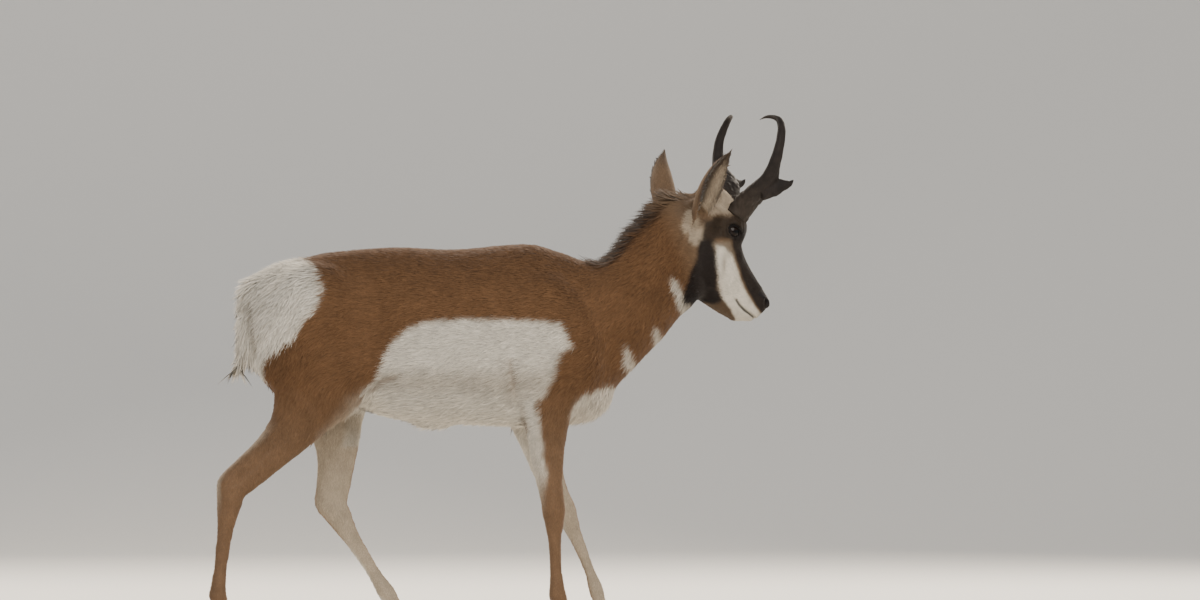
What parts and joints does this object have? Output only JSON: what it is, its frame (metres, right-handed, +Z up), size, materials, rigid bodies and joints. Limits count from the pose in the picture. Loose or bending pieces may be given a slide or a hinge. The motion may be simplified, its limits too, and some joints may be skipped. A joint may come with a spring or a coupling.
{
  "type": "standing pronghorn buck, still life-size model",
  "caption": "Life-size still model of a standing pronghorn buck, head turned away, with forked hooked horns, resting on its four cloven hooves.",
  "frame": {"origin": "middle of the bounding box, at the level of the hoof soles", "axes": "+X towards the nose along the body, +Y to the animal's left, +Z up"},
  "size_m": [1.345, 0.399, 1.1688],
  "materials": {
    "tan_coat": "short dense fur, rich brown above, lying flat",
    "white_coat": "longer soft white fur of rump, tail and belly",
    "face_coat": "very short fur, brown, black and cream",
    "horn": "black keratin sheath, rough at the base, polished to the tips",
    "hoof": "black hoof horn, satin",
    "eye": "wet, nearly black eye"
  },
  "bodies": {
    "root": {"head": "face_coat", "neck": "tan_coat", "torso": "tan_coat", "tail": "white_coat", "leg_fore_left": "tan_coat", "leg_fore_right": "tan_coat", "leg_hind_left": "tan_coat", "leg_hind_right": "tan_coat", "hoof_fore_left": "hoof", "hoof_fore_right": "hoof", "hoof_hind_left": "hoof", "hoof_hind_right": "hoof", "horn_left": "horn", "horn_right": "horn", "ear_left": "face_coat", "ear_right": "face_coat", "eye_left": "eye", "eye_right": "eye"}
  },
  "joints": []
}
